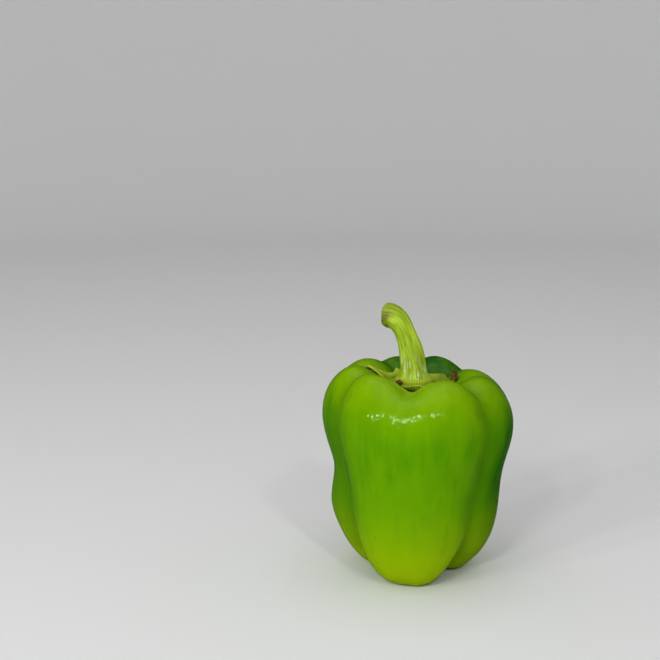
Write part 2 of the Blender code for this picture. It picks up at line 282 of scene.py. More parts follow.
# %% [markdown]
# The skin between the stations
#
# The spline joins the stations of a meridian. Past each pole it goes on down the other side, so that it
# crosses the axis level and leaves no point there. A grown skin also has knobs and dents, and slow waves
# all over it. A displacement texture could make those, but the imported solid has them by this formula, and
# the two must agree.

# %% The curve of a meridian
# azimuth, height, how far out, half width in degrees, half height
SWELLINGS = (
    (176, 30 * MM, 2.4 * MM, 26, 11 * MM),
    (180, 49 * MM, -1.0 * MM, 26, 9 * MM),
    (-2, 44 * MM, -0.3 * MM, 24, 9 * MM),
    (-78, 57 * MM, 0.5 * MM, 22, 20 * MM),
)
UNEVENNESS = 0.25 * MM       # of the slow waves
WAVES_ROUND = (2, 3)         # how many of them go round the fruit
WAVES_UP = (5, -7)           # how much they lean on their way up, in radians


def fruit_curve(azimuth, at):
    """Points of radius and height on the skin, at shares 0 to 1 of the way along the meridian."""
    stations = fruit_meridian(azimuth)
    other_side = np.array([-1, 1])
    knots = np.concatenate([
        [-FRUIT_KNOTS[2], -FRUIT_KNOTS[1]], FRUIT_KNOTS, [2 - FRUIT_KNOTS[-2], 2 - FRUIT_KNOTS[-3]]])
    stations = np.concatenate([
        stations[2:0:-1] * other_side, stations, stations[-2:-4:-1] * other_side])
    points = spline(knots, stations, at)
    radius, height = points[:, 0], points[:, 1]
    turn, climb = math.radians(azimuth), height / FRUIT_HEIGHT
    waves = UNEVENNESS * np.sin(WAVES_ROUND[0] * turn + WAVES_UP[0] * climb)
    waves = waves * np.cos(WAVES_ROUND[1] * turn + WAVES_UP[1] * climb)
    for centre, level, out, half_width, half_height in SWELLINGS:
        offset = turn_between(azimuth, centre) / half_width
        waves = waves + out * np.exp(-offset**2 - ((height - level) / half_height)**2)
    radius = radius + waves * radius / (FRUIT_WIDTH / 2)
    return np.stack([radius, np.maximum(height, 0.0)], axis=1)


front_curve = fruit_curve(-100, np.linspace(0, 1, 200))
print("the front meridian tops out at", round(front_curve[:, 1].max() / MM, 1), "mm")

# %% [markdown]
# Every piece starts as a ball
#
# Fruit, calyx and stem are closed, round bodies. The operator for that is create_uvsphere: it has
# meridians and poles exactly where a fruit has them. A lathe by spin would give the same rings, but its
# poles would have to be closed by hand. Each meridian of the ball is then bent to the outline at its
# azimuth, so the vertices come sorted by azimuth.

# %% A ball, sorted by azimuth
NEXT_TO_AXIS = 1e-6


def ball_columns(work, segments, rings):
    """Makes a ball and groups its vertices by azimuth: {azimuth: [(share, vertex), ...]}.

    share is 0 at the bottom pole and 1 at the top pole. Both poles are in the column at azimuth 0.
    """
    bmesh.ops.create_uvsphere(work, u_segments=segments, v_segments=rings, radius=1)
    columns = {}
    for vertex in work.verts:
        share = 1 - math.acos(max(-1, min(1, vertex.co.z))) / math.pi
        at_pole = math.hypot(vertex.co.x, vertex.co.y) < NEXT_TO_AXIS
        azimuth = 0.0 if at_pole else round(math.degrees(math.atan2(vertex.co.y, vertex.co.x)), 3)
        columns.setdefault(azimuth, []).append((share, vertex))
    return columns


sample = bmesh.new()
print("a ball of 8 segments has", len(ball_columns(sample, 8, 4)), "columns")
sample.free()

# %% [markdown]
# From a bmesh to a piece
#
# A bmesh is only a drawing board. To be seen, it becomes a mesh in an object, with its faces turned
# outwards and shaded smooth. The object stays at the origin and the place goes into the mesh, because a
# pattern on Object coordinates would slide if the object were moved. The piece then rides with the pepper
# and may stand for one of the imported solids.

# %% From a bmesh to a piece
def new_object(name, work):
    """Turns a bmesh into a smooth object in the scene."""
    bmesh.ops.recalc_face_normals(work, faces=work.faces)
    mesh = bpy.data.meshes.new(name)
    work.to_mesh(mesh)
    work.free()
    mesh.shade_smooth()
    made = bpy.data.objects.new(name, mesh)
    bpy.context.scene.collection.objects.link(made)
    return made


def finish_piece(name, work, node=None):
    """Turns a bmesh round the fruit's axis into a piece of the pepper, which may stand for a node."""
    bmesh.ops.translate(work, vec=AXIS, verts=work.verts)
    piece = new_object(name, work)
    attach(piece, "root")
    if node:
        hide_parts(node)
    corners = list(zip(*(vertex.co for vertex in piece.data.vertices)))
    low, high = [min(c) for c in corners], [max(c) for c in corners]
    print(name, len(piece.data.polygons), "faces, from", in_mm(low), "to", in_mm(high), "mm")
    return piece


# %% [markdown]
# Where the skin gets painted shade
#
# The right and back of the fruit are painted a deeper green, and the left a little: painted shade, for
# the sides that shade falls on. The colour needs to know where that is. A painted picture could say so, but
# a number kept at every vertex needs no picture: it is looked up here by azimuth and height, and the skin's
# material reads it as an attribute.

# %% Painted shade
# azimuth, and how much painted shade the wall and the shoulder get there, from 0 to 1
PAINTED_SHADE_TABLE = (
    (-180, 0.38, 0.15),
    (-158, 0.34, 0.0),
    (-134, 0.0, 0.0),
    (-52, 0.0, 0.0),
    (-18, 0.9, 0.0),
    (10, 1.0, 0.1),
    (55, 1.0, 0.75),
    (90, 1.0, 1.0),
    (150, 0.5, 0.4),
    (180, 0.38, 0.15),
)
SHOULDER_STARTS = (64 * MM, 94 * MM)    # between these heights the wall's painted shade gives way to the shoulder's


def painted_shade_at(azimuth, height):
    """How much painted shade the skin gets there, from 0 to 1."""
    azimuths, wall, shoulder = zip(*PAINTED_SHADE_TABLE)
    start, end = SHOULDER_STARTS
    up = ease((height - start) / (end - start))
    on_wall, on_shoulder = np.interp(azimuth, azimuths, wall), np.interp(azimuth, azimuths, shoulder)
    return float((1 - up) * on_wall + up * on_shoulder)


print("shade on the front wall:", painted_shade_at(-90, 0), "and on the right one:", round(painted_shade_at(0, 0), 2))

# %% [markdown]
# The fruit
#
# On top of the outline comes what a thumb would feel on a real pepper: faint ribs that run from the crown
# to the feet, a tenth of a millimetre high, which break up every reflection. A bump texture could draw
# them, but they are in the mesh because they show in outline and gloss alike. The finer orange peel is
# left to the material.

# %% Build the fruit
FRUIT_SEGMENTS, FRUIT_RINGS = 352, 232
RIB_HEIGHT = 0.10 * MM       # of the faint ribs along the wall
RIB_SPACING = 5.5 * MM
RIB_LENGTH = 38 * MM
FINER_RIBS = 2.1             # a second set is finer by this, and half as high
RESTING = 0.6 * MM           # below this height the skin is pressed flat and carries no ribs
RIBS_START = 20 * MM         # radius by which the ribs have their full height
DARK_LINE = 2                # the painted shade line down a furrow is narrower than the furrow by this


def faint_ribs(place):
    """A smooth unevenness stretched along the fruit's height, from about -1 to 1."""
    grain = Vector((place.x / RIB_SPACING, place.y / RIB_SPACING, place.z / RIB_LENGTH))
    return noise.noise(grain) + 0.5 * noise.noise(grain * FINER_RIBS)


def build_fruit():
    work = bmesh.new()
    in_furrow = work.verts.layers.float.new("furrow")
    # painted shade: how much deeper green each vertex gets
    painted_shade_layer = work.verts.layers.float.new("painted_shade")
    for azimuth, column in ball_columns(work, FRUIT_SEGMENTS, FRUIT_RINGS).items():
        out = direction(azimuth)
        shares = np.array([share for share, _ in column])
        zones = np.interp(shares, FRUIT_KNOTS, ZONES)
        depths = sum(furrow_depth(furrow, azimuth, zones, DARK_LINE) for furrow in FURROWS.values())
        points = fruit_curve(azimuth, shares).tolist()
        for (radius, height), depth, (_, vertex) in zip(points, depths.tolist(), column):
            place = radius * out + Vector((0, 0, height))
            fade = ease(height / RESTING) * ease(radius / RIBS_START)
            vertex.co = place + RIB_HEIGHT * faint_ribs(place) * fade * out
            # how deep in a furrow, which the skin's painted shade reads
            vertex[in_furrow] = depth
            # the painted shade at this vertex
            vertex[painted_shade_layer] = painted_shade_at(azimuth, height)
    return finish_piece("fruit_skin", work, "fruit")


fruit_piece = build_fruit()

# %% [markdown]
# How the materials are put together
#
# Every finish starts from a Principled shader and a handful of procedural patterns. They could be wired by
# hand in the shader editor, but as text they are easier to compare and to change. Three helpers keep the
# text short: one turns the hex colours of a colour picker into the linear values that light needs, one
# fills the sockets of a node, and one adds a node with its settings and links in a single call.

# %% Material helpers
MIXED_COLOUR = 2             # a Mix node gives its colour at this output, and other nodes' results are at 0


def colour(hex_code):
    """An sRGB hex colour as linear red, green, blue and alpha."""
    channels = [int(hex_code[i:i + 2], 16) / 255 for i in (1, 3, 5)]
    return (*[c / 12.92 if c <= 0.04045 else ((c + 0.055) / 1.055)**2.4 for c in channels], 1)


def fill(tree, node, inputs):
    """Fills sockets, by name or number, with values, hex colours, outputs, or the results of nodes."""
    for socket, source in inputs.items():
        if isinstance(source, bpy.types.Node):
            mixes_colour = getattr(source, "data_type", "") == "RGBA"
            source = source.outputs[MIXED_COLOUR if mixes_colour else 0]
        if isinstance(source, bpy.types.NodeSocket):
            tree.links.new(source, node.inputs[socket])
        else:
            node.inputs[socket].default_value = colour(source) if isinstance(source, str) else source


def add(tree, kind, inputs=None, stops=(), **settings):
    """Adds a node with its inputs, its other settings and, for a ramp, its stops: (position, hex)."""
    node = tree.nodes.new("ShaderNode" + kind)
    for name, value in settings.items():
        setattr(node, name, value)
    for element, (position, hex_code) in zip(node.color_ramp.elements if stops else (), stops):
        element.position = position
        element.color = colour(hex_code)
    fill(tree, node, inputs or {})
    return node


def new_material(name, **shader_values):
    """A new material, its node tree and its Principled shader with the values given."""
    material = bpy.data.materials.new(name)
    material.use_nodes = True
    tree = material.node_tree
    shader = tree.nodes["Principled BSDF"]
    fill(tree, shader, {socket.replace("_", " "): value for socket, value in shader_values.items()})
    return material, tree, shader


print("mid grey #808080 is", round(colour("#808080")[0], 3), "in linear light")

# %% [markdown]
# Waxy pepper skin, outside its painted shade
#
# The skin is a thin, clear cuticle of wax over cells full of chlorophyll. The wax gives the small hard
# highlights of a polished surface (IOR near 1.45, and a rather weak mirror), and the cells below give a
# deep, very pure green with almost no blue in it. A single colour would look like plastic. Real skin has
# soft lengthwise streaks and wide patches, so two noises, one of them stretched, are mixed and pick
# between two greens.

# %% Waxy pepper skin, its streaks and its green outside the painted shade
# In a Mix, socket 0 is the factor, 2 and 3 are the two values, and 6 and 7 the two colours. In a Map
# Range, 0 is the value, 1 and 2 are where it comes from, and 3 and 4 are where it goes to.
STREAK_WIDTH = 6 * MM
STREAK_LENGTH = 70 * MM
PATCH = 24 * MM
UNSHADED_GREENS = ((0.40, "#559400"), (0.60, "#6CA400"))

# The roughness is the middle of what the gloss pattern at the end of this material gives.
waxy_pepper_skin, tree, shader = new_material(
    "waxy_pepper_skin", Roughness=0.14, IOR=1.45, Metallic=0.0, Specular_IOR_Level=0.28,
    Specular_Tint="#CFE8B0")
place = add(tree, "TexCoord").outputs["Object"]
lengthwise = add(tree, "Mapping", {
    "Vector": place, "Scale": (1 / STREAK_WIDTH, 1 / STREAK_WIDTH, 1 / STREAK_LENGTH)})
streaks = add(tree, "TexNoise", {"Vector": lengthwise, "Scale": 1.0, "Detail": 3.0})
patches = add(tree, "TexNoise", {"Vector": place, "Scale": 1 / PATCH, "Detail": 2.0})
mixed = add(tree, "Mix", {0: 0.5, 2: streaks, 3: patches})
unshaded_green = add(tree, "ValToRGB", {0: mixed}, UNSHADED_GREENS)
print("the streaks are", round(STREAK_LENGTH / STREAK_WIDTH), "times as long as they are wide")

# %% [markdown]
# Waxy pepper skin, its painted shade
#
# Here the skin is painted a deeper green: painted shade on the side that shade falls on, where the numbers
# kept at the vertices say so. Its border could follow those numbers alone, but that draws an even line that
# no plant has. So the streaks are added to the numbers first, and they feather the border lengthwise.

# %% Waxy pepper skin, its painted shade
PAINTED_SHADE_GREENS = ((0.36, "#0A4E00"), (0.64, "#226C00"))
FEATHERING = 2.2             # how much the streaks count beside the shade
SHADE_STARTS, SHADE_FULL = 1.2, 2.0

# painted shade: the numbers kept at the vertices, feathered by the streaks, pick the deeper green
painted_shade_attribute = add(tree, "Attribute", attribute_name="painted_shade")
painted_shade_feathered = add(tree, "Math", {0: mixed, 1: FEATHERING, 2: painted_shade_attribute.outputs["Fac"]}, operation="MULTIPLY_ADD")
painted_shade = add(tree, "MapRange", {0: painted_shade_feathered, 1: SHADE_STARTS, 2: SHADE_FULL, 3: 0.0, 4: 1.0})
painted_shade_green = add(tree, "ValToRGB", {0: mixed}, PAINTED_SHADE_GREENS)
with_painted_shade = add(tree, "Mix", {0: painted_shade, 6: unshaded_green, 7: painted_shade_green}, data_type="RGBA")
print("the skin's shader has", len(tree.nodes), "nodes so far")

# %% [markdown]
# Waxy pepper skin, where it ripens
#
# Ripening starts at the feet, which turn yellower, and then at the shoulders. The yellow at the feet is
# partly the skin's own colour and partly painted light, the bounce off the table. The painted shade holds
# both back.
# Both follow the height above the table, so the Z of the Object coordinates is enough, and no more numbers
# need to be kept at the vertices.

# %% Waxy pepper skin, its ripening
YELLOW_GREEN = "#A4C200"
FEET_RIPE = (-6 * MM, 46 * MM)         # ripe at the first height, and not yet at the second
SHOULDERS_RIPE = (70 * MM, 94 * MM)    # the other way round
SHOULDER_RIPENESS = 0.4
RIPENESS_IN_SHADE = 0.7                # of the feet, where the painted shade is full

height = add(tree, "SeparateXYZ", {0: place}).outputs["Z"]
# partly painted light: the feet are lighter and yellower, partly for the bounce off the table
feet = add(tree, "MapRange", {0: height, 1: FEET_RIPE[0], 2: FEET_RIPE[1], 3: 1.0, 4: 0.0},
           interpolation_type="SMOOTHSTEP")
shoulders = add(tree, "MapRange", {
    0: height, 1: SHOULDERS_RIPE[0], 2: SHOULDERS_RIPE[1], 3: 0.0, 4: SHOULDER_RIPENESS})
# the painted shade keeps the yellow off the shoulders and takes some off the feet
outside_painted_shade = add(tree, "MapRange", {0: painted_shade, 1: 0.0, 2: 1.0, 3: 1.0, 4: 0.0})
feet_ripeness_in_painted_shade = add(tree, "MapRange", {0: painted_shade, 1: 0.0, 2: 1.0, 3: 1.0, 4: RIPENESS_IN_SHADE})
ripe_top = add(tree, "Math", {0: shoulders, 1: outside_painted_shade}, operation="MULTIPLY")
ripe = add(tree, "Math", {0: feet, 1: feet_ripeness_in_painted_shade, 2: ripe_top}, operation="MULTIPLY_ADD")
yellowed = add(tree, "Mix", {0: ripe, 6: with_painted_shade, 7: YELLOW_GREEN}, data_type="RGBA")
print("the feet lose their yellow", in_mm(FEET_RIPE)[1], "mm above the table")

# %% [markdown]
# Waxy pepper skin, its painted shade in furrows and dip, and its corky specks
#
# The furrows get painted shade, a darker line down their middle, the dip round the stem gets darker
# painted shade still, and here and there a scratch has healed as a tiny corky speck. The furrows could be
# left to the shadows of the lamps, but the painted shade makes the line darker than those shadows, so a
# factor kept at the vertices multiplies it. The specks are the middles of Voronoi cells, which lie
# scattered and never touch.

# %% Waxy pepper skin, painted shade in its furrows and dip, and its specks
DIP_SHADE_CENTRE = (-1.4 * MM, 0.5 * MM, 86 * MM)
DIP_SHADE_REACH = (10 * MM, 14 * MM)
SPECK_SPACING = 9 * MM       # between the few corky specks
SPECK_EDGE = (0.03, 0.09)    # radii of a speck's core and of its soft edge, in shares of the spacing

# painted shade: the skin darkens along the middle of each furrow
furrow = add(tree, "Attribute", attribute_name="furrow")
furrow_painted_shade = add(tree, "MapRange", {0: furrow.outputs["Fac"], 1: 0.15, 2: 1.3, 3: 0.0, 4: 1.0})
with_furrow_shade = add(tree, "Mix", {0: furrow_painted_shade, 6: yellowed, 7: "#CCD6CC"}, data_type="RGBA", blend_type="MULTIPLY")
# painted shade: a dark green round the stem, in the dip under the calyx
round_stem = add(tree, "VectorMath", {0: place, 1: DIP_SHADE_CENTRE}, operation="DISTANCE")
dip_painted_shade = add(tree, "MapRange", {
    0: round_stem.outputs["Value"], 1: DIP_SHADE_REACH[0], 2: DIP_SHADE_REACH[1], 3: 0.75, 4: 0.0})
with_dip_shade = add(tree, "Mix", {0: dip_painted_shade, 6: with_furrow_shade, 7: "#2E4A00"}, data_type="RGBA")
cells = add(tree, "TexVoronoi", {"Vector": place, "Scale": 1 / SPECK_SPACING})
speck = add(tree, "MapRange", {
    0: cells.outputs["Distance"], 1: SPECK_EDGE[0], 2: SPECK_EDGE[1], 3: 0.7, 4: 0.0})
specked = add(tree, "Mix", {0: speck, 6: with_dip_shade, 7: "#8C7A1E"}, data_type="RGBA")
fill(tree, shader, {"Base Color": specked})
core, edge = (round(2 * share * SPECK_SPACING / MM, 1) for share in SPECK_EDGE)
print("a speck's core is", core, "mm across, and its soft edge", edge, "mm")

# %% [markdown]
# Waxy pepper skin, its orange peel
#
# Under the wax every cell stands out a little, like the peel of an orange, and that breaks a highlight
# into sparkles. It could be displaced, but relief this fine would need millions of faces, so a bump map
# tilts the light instead. A second, lengthwise noise pulls the sparkles into short strokes, and the wax is
# a little duller in some patches than in others.

# %% Waxy pepper skin, its relief and gloss
PEEL = 2.0 * MM              # about 1 mm on the fruit, drawn a little coarser so that it shows
PEEL_HEIGHT = 0.14 * MM
FIBRE_WIDTH = 2.0 * MM       # lengthwise ripples; on the fruit they are finer still
FIBRE_LENGTH = 6 * MM
FIBRE_SHARE = 0.8            # of the peel's height
GLOSS = (0.11, 0.17)         # roughness of the shiniest and of the dullest wax

peel = add(tree, "TexNoise", {"Vector": place, "Scale": 1 / PEEL, "Detail": 0.0})
grown = add(tree, "Mapping", {
    "Vector": place, "Scale": (1 / FIBRE_WIDTH, 1 / FIBRE_WIDTH, 1 / FIBRE_LENGTH)})
fibres = add(tree, "TexNoise", {"Vector": grown, "Scale": 1.0, "Detail": 1.0})
relief = add(tree, "Math", {0: fibres, 1: FIBRE_SHARE, 2: peel}, operation="MULTIPLY_ADD")
bump = add(tree, "Bump", {"Strength": 1.0, "Distance": PEEL_HEIGHT, "Height": relief})
gloss = add(tree, "MapRange", {0: patches, 1: 0.3, 2: 0.7, 3: GLOSS[0], 4: GLOSS[1]})
fill(tree, shader, {"Normal": bump, "Roughness": gloss})

fruit_piece.data.materials.append(waxy_pepper_skin)
print("the skin's shader has", len(tree.nodes), "nodes")

# %% [markdown]
# The bed of the calyx
#
# Where the flower sat, its sepals have grown together into a thin leathery collar. It lies in the dip like
# a coin on a cushion, so every point of it is measured up from the skin underneath. A ray cast down onto
# the fruit would find that height, but the formula of the skin gives it without depending on the mesh.

# %% Height of the skin in the dip
SEAT_SEARCH = 0.84           # share of the meridian where the search down the shoulder stops
SEAT_SAMPLES = 60


@functools.lru_cache(maxsize=None)
def seat_profile(azimuth):
    """Radius and height of the skin from the seat out to the top of the shoulder, at one azimuth."""
    points = fruit_curve(azimuth, np.linspace(1, SEAT_SEARCH, SEAT_SAMPLES))
    return points[:, 0], points[:, 1]


def seat_height(x, y):
    """Height of the fruit's skin in the dip between the shoulders, over the point (x, y)."""
    azimuth, reach = math.degrees(math.atan2(y, x)), math.hypot(x, y)
    low = math.floor(azimuth)
    first, second = (np.interp(reach, *seat_profile(a)) for a in (low, low + 1))
    return float(first + (second - first) * (azimuth - low))


print("the skin is", round(seat_height(0, 0) / MM, 1), "mm high in the middle of the dip")

# %% [markdown]
# The outline of the calyx
#
# Seen from above, the collar is a disc with a pointed tip for each sepal, and each tip has its own length,
# lift and curl. The tips could be modelled one by one and joined. As soft peaks on the radius of one disc
# they grow out of it without a seam, as the real ones do.

# %% Tips of the calyx
CALYX_CENTRE = Vector((-1.4 * MM, 0.5 * MM, 0))
CALYX_RADIUS = 10.2 * MM     # to the rim between two tips
# azimuth, length past the rim, half width in degrees, lift of the rim there, curl of the very end
CALYX_TIPS = (
    (-134, 1.2 * MM, 10, 0.8 * MM, 0.5 * MM),
    (-80, 0.3 * MM, 34, 2.0 * MM, 0.0 * MM),
    (-20, 1.6 * MM, 11, 0.7 * MM, 0.1 * MM),
    (12, 7.6 * MM, 17, 0.3 * MM, 0.4 * MM),
    (42, 6.6 * MM, 20, 0.3 * MM, 0.0 * MM),
    (84, 3.4 * MM, 13, 0.3 * MM, 0.4 * MM),
    (122, 4.2 * MM, 14, 0.3 * MM, 0.8 * MM),
    (169, 10.9 * MM, 14, 0.3 * MM, 0.2 * MM),
)
TIP_ROUNDING = 0.16
CURL_WIDTH = 0.5             # of the curling end, as a share of the tip's width
VEIN_WIDTH = 4.5             # half the width of the vein down each sepal, in degrees


def calyx_rim(azimuth):
    """Radius of the rim, its lift off the fruit, the curl of its edge and how near a tip's vein it is."""
    radius, lift, curl, vein = CALYX_RADIUS, 0.0, 0.0, 0.0
    for centre, length, half_width, up, curled in CALYX_TIPS:
        x = turn_between(azimuth, centre) / half_width
        radius += length * float(soft_peak(x, TIP_ROUNDING))
        lift += up * math.exp(-x * x)
        curl += curled * math.exp(-(x / CURL_WIDTH)**2)
        vein += math.exp(-(turn_between(azimuth, centre) / VEIN_WIDTH)**2)
    return radius, lift, curl, vein


longest = max(range(-180, 180), key=lambda azimuth: calyx_rim(azimuth)[0])
print("the longest tip, at", longest, "degrees, reaches", round(calyx_rim(longest)[0] / MM, 1), "mm")

# %% [markdown]
# The thickness of the calyx
#
# The collar is a millimetre thick, thinner at its rim, with a vein down each sepal and wrinkles between.
# Its middle rises to the seat of the stem and climbs up round it in short pleats. Two discs, bridged at
# the rim, would do for a flat collar. A ball pressed flat is closed from the start: its equator becomes
# the rim, and its upper and lower halves get their own heights.

# %% Heights of the calyx
GAP = 0.3 * MM               # air kept between two pieces that touch
CALYX_RIM = 1.0 * MM         # thickness near the rim
CALYX_EDGE = 0.5             # thickness of the very edge, as a share of that
CALYX_THICKENING = 2.2       # how soon the edge reaches the full thickness
CALYX_CROWDING = 0.8         # below 1, the rings crowd towards the rim
CALYX_TOP = 88.1 * MM        # height of the flat top that the stem stands on
CALYX_SEAT = 8.3 * MM        # radius of that flat top
CALYX_FALL = 0.5             # share of the way to the rim over which the collar falls from it
VEIN_HEIGHT = 0.35 * MM
WRINKLE, WRINKLE_SIZE = 0.16 * MM, 1.6 * MM
RELIEF_FADE = 3              # how soon veins and wrinkles reach their full height from the rim
RELIEF_INSIDE = 0.8          # of the seat's radius, where they end
RELIEF_RUN = 2 * MM          # and how far it takes them
RIM_WAVE, RIM_WAVES = 0.25 * MM, 11
FILLET_HEIGHT = 2.0 * MM     # how far the collar climbs up round the foot of the stem
FILLET_RADII = (6.9 * MM, 10.4 * MM)
PLEATS = 46                  # short folds round the foot of the stem, darkened with painted shade
PLEAT_DEPTH = 0.16 * MM
PLEAT_DRIFT, PLEAT_DRIFTS = 2, 3    # they are crowded in three places
PLEATS_LOW = 1.2             # they end when the collar has made 1 / 1.2 of its climb


def calyx_relief(place, reach, vein, inwards):
    """Height of the veins and wrinkles on the top of the calyx."""
    relief = VEIN_HEIGHT * vein + WRINKLE * noise.noise(place / WRINKLE_SIZE)
    relief *= min(1.0, RELIEF_FADE * inwards)
    return relief * ease((reach - RELIEF_INSIDE * CALYX_SEAT) / RELIEF_RUN)


def calyx_point(azimuth, share):
    """A point of the calyx, how near the rim it is, how far up the stem's foot and how deep in a pleat.

    share runs from the middle of its underside, 0, over its rim, 0.5, to the middle of its top, 1.
    """
    rim, lift, curl, vein = calyx_rim(azimuth)
    reach = rim * math.sin(math.pi * share)**CALYX_CROWDING
    inwards = abs(math.cos(math.pi * share))
    place = CALYX_CENTRE + reach * direction(azimuth)
    outer = ease((reach - CALYX_SEAT) / (rim - CALYX_SEAT))
    wave = RIM_WAVE * (0.5 + 0.5 * math.sin(math.radians(RIM_WAVES * azimuth))) * outer
    under = seat_height(place.x, place.y) + GAP + lift * outer + curl * outer**3 + wave
    if share <= 0.5:
        place.z = under + CALYX_RIM * CALYX_EDGE * (1 - inwards)**3
        return place, outer, 0.0, 0.0
    thickness = CALYX_RIM * (CALYX_EDGE + (1 - CALYX_EDGE) * min(1.0, CALYX_THICKENING * inwards))
    top = under + thickness + calyx_relief(place, reach, vein, inwards)
    rising = 1 - ease((reach - CALYX_SEAT) / (CALYX_FALL * (rim - CALYX_SEAT)))
    climb = ease((FILLET_RADII[1] - reach) / (FILLET_RADII[1] - FILLET_RADII[0]))
    turn = math.radians(azimuth)
    pleat = (0.5 + 0.5 * math.cos(PLEATS * turn + PLEAT_DRIFT * math.sin(PLEAT_DRIFTS * turn)))**2
    pleat *= math.sin(math.pi * min(1.0, PLEATS_LOW * climb))
    place.z = top + (CALYX_TOP - top) * rising + FILLET_HEIGHT * climb**2 - PLEAT_DEPTH * pleat
    return place, outer, ease(PLEATS_LOW * climb), pleat


print("the collar tops out at", round(calyx_point(0, 1)[0].z / MM, 1), "mm under the stem")

# %% [markdown]
# The calyx
#
# The ball's vertices go to the points above. How near the rim each one is, how far up the foot of the
# stem and how deep in a pleat could be worked out again in the shader. They are known here, so they are
# kept at the vertices for the colours.

# %% Build the calyx
CALYX_SEGMENTS, CALYX_RINGS = 360, 84


def build_calyx():
    work = bmesh.new()
    near_rim = work.verts.layers.float.new("rim")
    on_foot = work.verts.layers.float.new("foot")
    in_pleat = work.verts.layers.float.new("pleat")
    for azimuth, column in ball_columns(work, CALYX_SEGMENTS, CALYX_RINGS).items():
        for share, vertex in column:
            vertex.co, vertex[near_rim], vertex[on_foot], vertex[in_pleat] = calyx_point(azimuth, share)
    return finish_piece("calyx_collar", work, "calyx")


calyx_piece = build_calyx()

# %% [markdown]
# Leathery calyx
#
# Sepal tissue is tougher and drier than the fruit: a silky yellow-green that turns pale at the torn rim,
# and towards the right it is a duller olive and its rim less pale. A plain green would make it part of the
# fruit.
# Roughness 0.5 spreads the highlights wide, and a fine grain of wrinkles catches the light.

# %% Leathery calyx
GRAIN = 1.1 * MM
LEATHERY_GREENS = ((0.35, "#6E8E0C"), (0.7, "#A4BE18"))
OLIVE_RIGHT_SPAN = (6 * MM, 10 * MM)  # between these places along X it turns a duller olive and its rim less pale

leathery_calyx, tree, shader = new_material(
    "leathery_calyx", Roughness=0.5, IOR=1.45, Metallic=0.0, Specular_IOR_Level=0.2,
    Specular_Tint="#E6F0C8")
place = add(tree, "TexCoord").outputs["Object"]
grain = add(tree, "TexNoise", {"Vector": place, "Scale": 1 / (4 * GRAIN), "Detail": 4.0})
green = add(tree, "ValToRGB", {0: grain}, LEATHERY_GREENS)
along_x = add(tree, "SeparateXYZ", {0: place}).outputs["X"]
olive_towards_right = add(tree, "MapRange", {0: along_x, 1: OLIVE_RIGHT_SPAN[0], 2: OLIVE_RIGHT_SPAN[1], 3: 0.0, 4: 0.8})
with_olive_right = add(tree, "Mix", {0: olive_towards_right, 6: green, 7: "#5C6A08"}, data_type="RGBA")
rim_paleness_by_x = add(tree, "MapRange", {0: along_x, 1: OLIVE_RIGHT_SPAN[0], 2: OLIVE_RIGHT_SPAN[1], 3: 0.9, 4: 0.25})
rim = add(tree, "Attribute", attribute_name="rim")
near = add(tree, "MapRange", {0: rim.outputs["Fac"], 1: 0.35, 2: 0.95, 3: 0.0, 4: 1.0})
pale = add(tree, "Math", {0: near, 1: rim_paleness_by_x}, operation="MULTIPLY")
edged = add(tree, "Mix", {0: pale, 6: with_olive_right, 7: "#BCCB3C"}, data_type="RGBA")
foot = add(tree, "Attribute", attribute_name="foot")
joined = add(tree, "Mix", {0: foot.outputs["Fac"], 6: edged, 7: "#A6BE2C"}, data_type="RGBA")
# painted shade: the pleats are painted dark
pleat = add(tree, "Attribute", attribute_name="pleat")
with_pleat_shade = add(tree, "Mix", {0: pleat.outputs["Fac"], 6: joined, 7: "#5A6408"}, data_type="RGBA")
fine = add(tree, "TexNoise", {"Vector": place, "Scale": 1 / GRAIN, "Detail": 3.0})
bump = add(tree, "Bump", {"Strength": 0.5, "Distance": 0.3 * MM, "Height": fine})
fill(tree, shader, {"Base Color": with_pleat_shade, "Normal": bump})

calyx_piece.data.materials.append(leathery_calyx)
print("the calyx's shader has", len(tree.nodes), "nodes")

# %% [markdown]
# Papery brown
#
# At the very end of a sepal the tissue dies first. It turns a dark papery brown, and it is the only quite
# dull place on the pepper: roughness 0.75 leaves no highlight on it. One noise gives both its colour and
# its bump, so the pale places are the ridges and the dark places the low ones: partly the brown's own
# mottling, and partly painted light, lighter on the ridges and painted shade in the folds.

# %% Papery brown
CRUMPLE_SIZE = 0.9 * MM
PAPERY_BROWNS = ((0.38, "#3A2408"), (0.68, "#8A6A2C"))

papery_brown, tree, shader = new_material(
    "papery_brown", Roughness=0.75, IOR=1.45, Metallic=0.0, Specular_IOR_Level=0.3)
place = add(tree, "TexCoord").outputs["Object"]
folds = add(tree, "TexNoise", {"Vector": place, "Scale": 1 / CRUMPLE_SIZE, "Detail": 3.0})
# partly painted light: the noise that raises the ridges also lightens them and darkens the folds
brown = add(tree, "ValToRGB", {0: folds}, PAPERY_BROWNS)
bump = add(tree, "Bump", {"Strength": 0.6, "Distance": 0.2 * MM, "Height": folds})
fill(tree, shader, {"Base Color": brown, "Normal": bump})
print("the tips' shader has", len(tree.nodes), "nodes")

# %% [markdown]
# Dry tips
#
# A dead tip curls and shrivels until it is no bigger than a grain of rice. It could be folded from a
# sheet, but so small a thing shows only its lumpy outline. So each one is an icosphere, squeezed to size
# and crumpled with noise, and it is sunk a little into the sepal that carries it.

